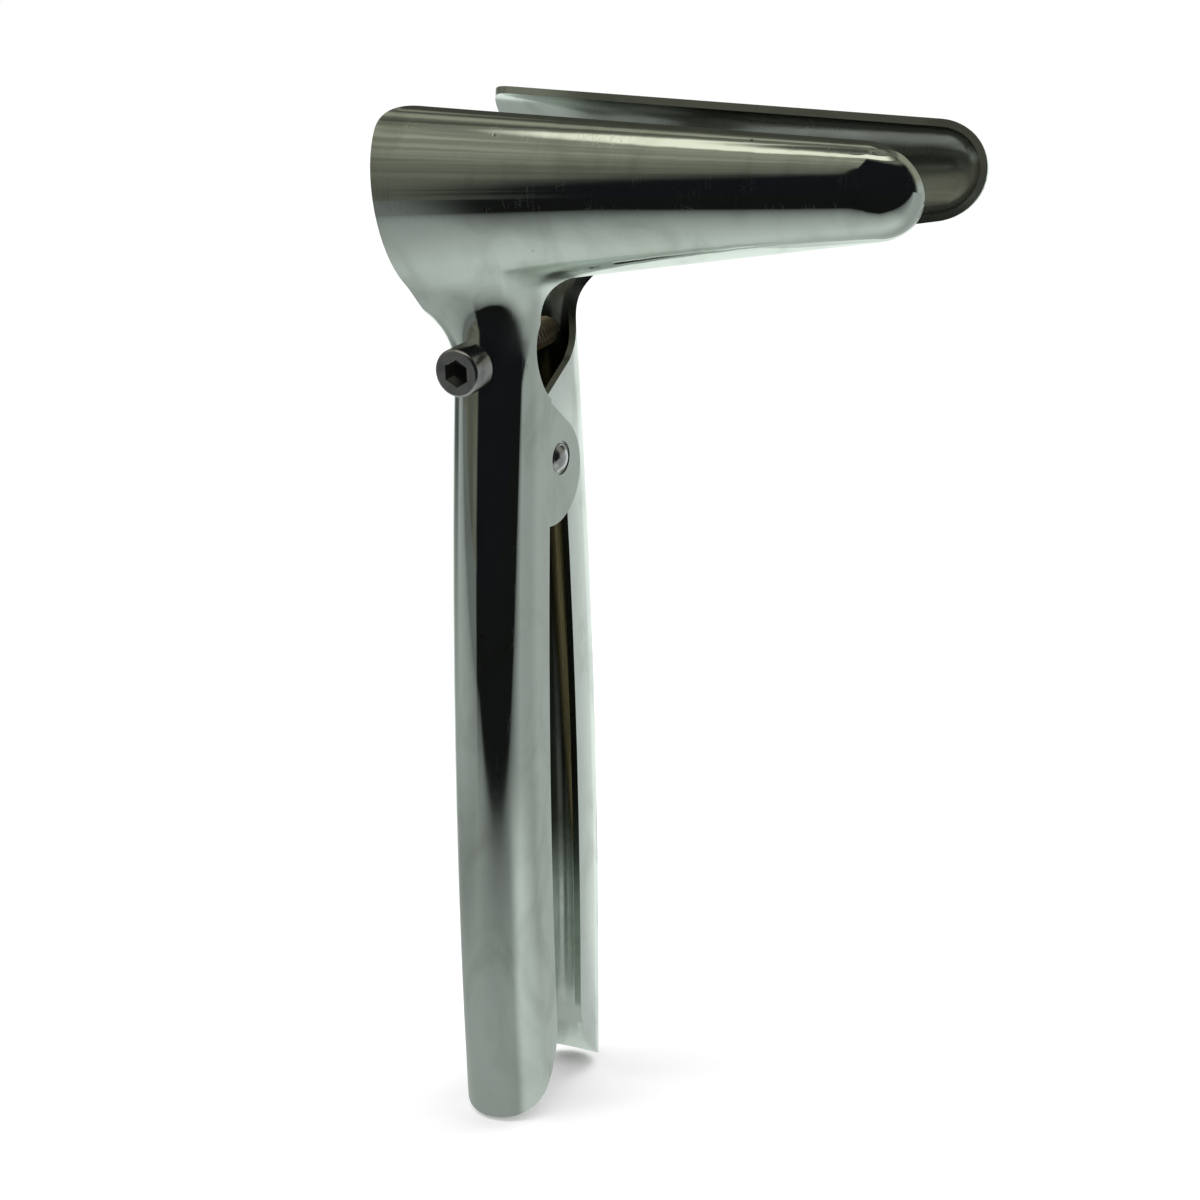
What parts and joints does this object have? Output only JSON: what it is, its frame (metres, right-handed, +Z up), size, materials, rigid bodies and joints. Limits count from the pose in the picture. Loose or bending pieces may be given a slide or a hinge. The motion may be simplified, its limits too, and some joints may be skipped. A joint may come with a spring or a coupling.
{
  "type": "rectal speculum",
  "caption": "Two-valve rectal speculum: trough blades on channel handles hinged on rivets, held open by a socket-head stop screw and closed by a flat spring.",
  "frame": {"origin": "middle of the hinge axis, between the two rivets", "axes": "+X along the hinge axis towards the blade tips, +Y from the front half to the rear half, +Z up from the handles to the blades"},
  "size_m": [0.0898, 0.0428, 0.1699],
  "materials": {
    "polished_steel": "mirror-polished stainless steel",
    "rivet_steel": "polished stainless steel rivet",
    "screw_steel": "plain turned and rolled stainless steel screw",
    "boss_steel": "plain turned steel",
    "spring_metal": "drawn spring strip, dull yellow"
  },
  "bodies": {
    "front": {"front_half": "polished_steel", "pivot_rivet_right": "rivet_steel", "pivot_rivet_left": "rivet_steel", "screw_boss": "boss_steel", "handle_spring": "spring_metal"},
    "rear": {"rear_half": "polished_steel"},
    "screw": {"set_screw": "screw_steel"}
  },
  "joints": [
    {"name": "blade_pivot", "type": "hinge", "parent": "front", "child": "rear", "pos_m": [0, 0, 0], "axis": [1, 0, 0], "range_deg": [0, 27.3], "deforming": ["handle_spring"]},
    {"name": "screw_travel", "type": "slide", "parent": "front", "child": "screw", "axis": [0, -0.9976, -0.0698], "range_m": [0, 0.0085]}
  ],
  "couplings": [
    {"joint": "screw_travel", "follows": "blade_pivot", "m_per_rad": 0.0174}
  ]
}
